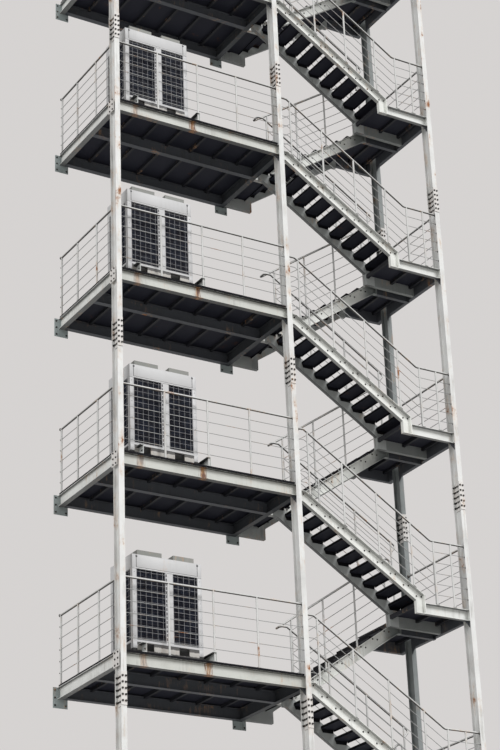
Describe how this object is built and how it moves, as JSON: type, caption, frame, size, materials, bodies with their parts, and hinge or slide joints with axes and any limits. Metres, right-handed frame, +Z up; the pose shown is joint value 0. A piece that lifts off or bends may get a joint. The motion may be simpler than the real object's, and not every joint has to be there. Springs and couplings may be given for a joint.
{
  "type": "fire escape stair tower",
  "caption": "Outside steel stair tower with H columns, dog-leg open-riser flights, half landings, rod guards and a condensing unit on each platform",
  "frame": {"origin": "middle of the underside of the front left column's base plate", "axes": "+X along the front to the right, +Y back to the wall, +Z up"},
  "size_m": [7.22, 2.37, 22.18],
  "materials": {
    "paint": "warm white paint, chalky and streaked with grime, with rust at joints and bolt holes",
    "deck": "dark grey paint, dusty on top and nearly black underneath",
    "guard": "pale grey paint, worn, with rusty undersides",
    "unit_casing": "cream powder coat with dark finned coils",
    "unit_wire": "white coated wire",
    "unit_rail": "dull zinc grey",
    "rubber": "matt black rubber"
  },
  "bodies": {
    "root": {"column_front_left": "paint", "column_front_middle": "paint", "column_front_right": "paint", "column_rear_right": "paint", "base_plates": "paint", "cap_plates": "paint", "splice_plates": "paint", "platform_front_beams": "paint", "platform_middle_beams": "paint", "platform_rear_beams": "paint", "platform_side_beams": "paint", "platform_cross_beams": "paint", "platform_ribs": "paint", "platform_decks": "deck", "side_gussets": "paint", "seat_gussets": "paint", "wall_plates": "paint", "front_outer_stringers": "paint", "front_inner_stringers": "paint", "back_well_stringers": "paint", "back_wall_stringers": "paint", "stringer_base_plates": "paint", "front_treads": "deck", "back_treads": "deck", "foot_decks": "deck", "landing_front_beams": "paint", "landing_inner_beams": "paint", "landing_well_beams": "paint", "landing_wall_beams": "paint", "landing_cross_beams": "paint", "landing_ribs": "paint", "landing_decks": "deck", "platform_front_guards": "guard", "platform_left_guards": "guard", "flight_front_guards": "guard", "flight_inner_guards": "guard", "flight_back_guards": "guard", "landing_side_guards": "guard", "top_end_guard": "guard", "condenser_cabinets": "unit_casing", "condenser_fan_hoods": "unit_casing", "condenser_fan_guards": "unit_wire", "condenser_rails": "unit_rail", "condenser_pads": "rubber"}
  },
  "joints": []
}
